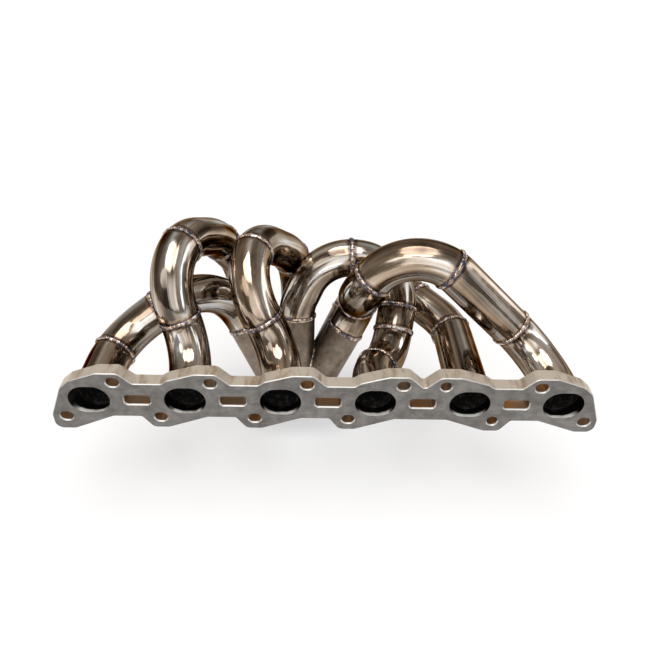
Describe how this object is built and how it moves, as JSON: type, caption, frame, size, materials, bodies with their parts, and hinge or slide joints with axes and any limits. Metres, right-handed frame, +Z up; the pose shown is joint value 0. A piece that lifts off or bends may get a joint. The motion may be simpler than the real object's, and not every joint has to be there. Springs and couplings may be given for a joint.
{
  "type": "exhaust manifold",
  "caption": "Tubular exhaust manifold: a slotted head flange, polished bent runners joined by welds, and a merge collector on a four-bolt turbine flange.",
  "frame": {"origin": "on the head flange's sealing face, at port height, midway between ports 3 and 4", "axes": "+X along the head flange from port 1 to port 6, +Y away from the engine, +Z up"},
  "size_m": [0.5645, 0.2548, 0.2881],
  "materials": {
    "flange_steel": "machined satin steel plate",
    "turbine_flange_steel": "machined satin steel plate",
    "collector_steel": "satin stainless tube, lightly heat tinted",
    "weld_bead": "rippled weld bead with heat tint",
    "runner_tube": "polished stainless tube with a bronze tint"
  },
  "bodies": {
    "root": {"collector_leg_1": "collector_steel", "collector_leg_2": "collector_steel", "collector_leg_3": "collector_steel", "collector_leg_4": "collector_steel", "collector_leg_5": "collector_steel", "collector_leg_6": "collector_steel", "collector_outlet_cone": "collector_steel", "head_flange": "flange_steel", "runner_1_collector_bend": "runner_tube", "runner_1_port_stub": "runner_tube", "runner_1_riser": "runner_tube", "runner_1_weld_beads": "weld_bead", "runner_2_collector_bend": "runner_tube", "runner_2_port_bend": "runner_tube", "runner_2_rear_bend": "runner_tube", "runner_2_riser": "runner_tube", "runner_2_top_bend": "runner_tube", "runner_2_weld_beads": "weld_bead", "runner_3_collector_bend": "runner_tube", "runner_3_port_bend": "runner_tube", "runner_3_riser": "runner_tube", "runner_3_top_bend": "runner_tube", "runner_3_weld_beads": "weld_bead", "runner_4_collector_bend": "runner_tube", "runner_4_port_bend": "runner_tube", "runner_4_riser": "runner_tube", "runner_4_side_bend": "runner_tube", "runner_4_top_bend": "runner_tube", "runner_4_weld_beads": "weld_bead", "runner_5_collector_bend": "runner_tube", "runner_5_port_stub": "runner_tube", "runner_5_side_bend": "runner_tube", "runner_5_weld_beads": "weld_bead", "runner_6_collector_bend": "runner_tube", "runner_6_front_bend": "runner_tube", "runner_6_long_riser": "runner_tube", "runner_6_port_bend": "runner_tube", "runner_6_top_bend": "runner_tube", "runner_6_weld_beads": "weld_bead", "turbine_flange": "turbine_flange_steel"}
  },
  "joints": []
}
